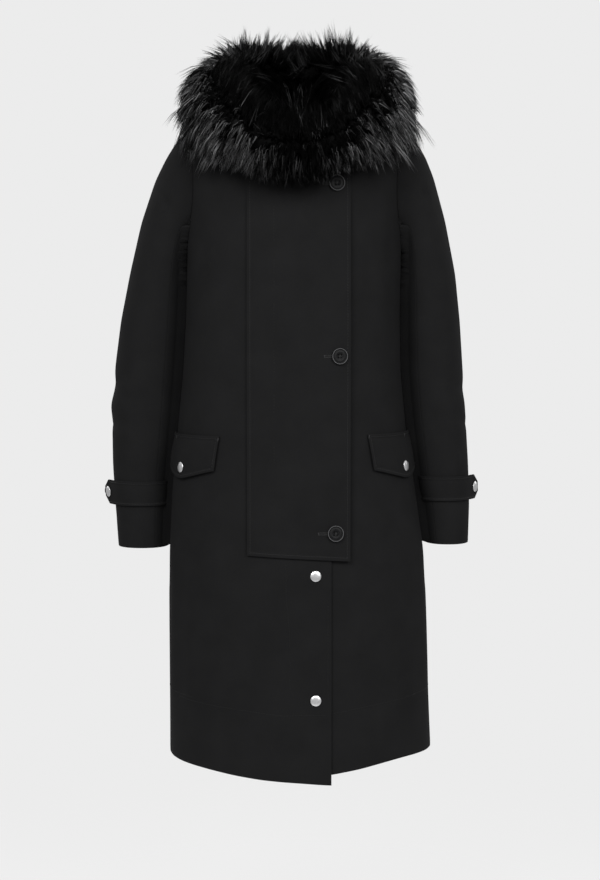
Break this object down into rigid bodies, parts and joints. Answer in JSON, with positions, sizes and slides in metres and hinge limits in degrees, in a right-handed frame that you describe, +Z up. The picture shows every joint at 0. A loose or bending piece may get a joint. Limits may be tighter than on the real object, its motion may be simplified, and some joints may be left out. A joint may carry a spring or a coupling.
{
  "type": "long hooded parka with a fur trim, filled out as worn",
  "caption": "Long hooded coat of thick cloth with a wrapped front, storm flap, buttons, snaps, flap pockets, cuff tabs and a deep fur trim on a hood worn down.",
  "frame": {"origin": "middle of the neck, level with the tops of the shoulders that carry the coat", "axes": "+Z up along the garment, -Y out of its front, +X to the wearer's left"},
  "size_m": [0.6091, 0.3514, 1.1774],
  "materials": {
    "shell": "matt bonded wool with a short soft nap",
    "fur": "long soft black pile with a grey sheen on its tips",
    "button": "dark satin horn with a lighter rim",
    "snap": "polished nickel"
  },
  "bodies": {
    "root": {"right_front": "shell", "left_front": "shell", "back": "shell", "right_top_sleeve": "shell", "right_under_sleeve": "shell", "left_top_sleeve": "shell", "left_under_sleeve": "shell", "storm_flap": "shell", "right_pocket_flap": "shell", "left_pocket_flap": "shell", "right_cuff_tab": "shell", "left_cuff_tab": "shell", "fur_trim": "fur", "hood": "shell", "top_button": "button", "middle_button": "button", "bottom_button": "button", "upper_front_snap": "snap", "lower_front_snap": "snap", "right_pocket_snap": "snap", "left_pocket_snap": "snap", "right_cuff_snap": "snap", "left_cuff_snap": "snap"}
  },
  "joints": []
}
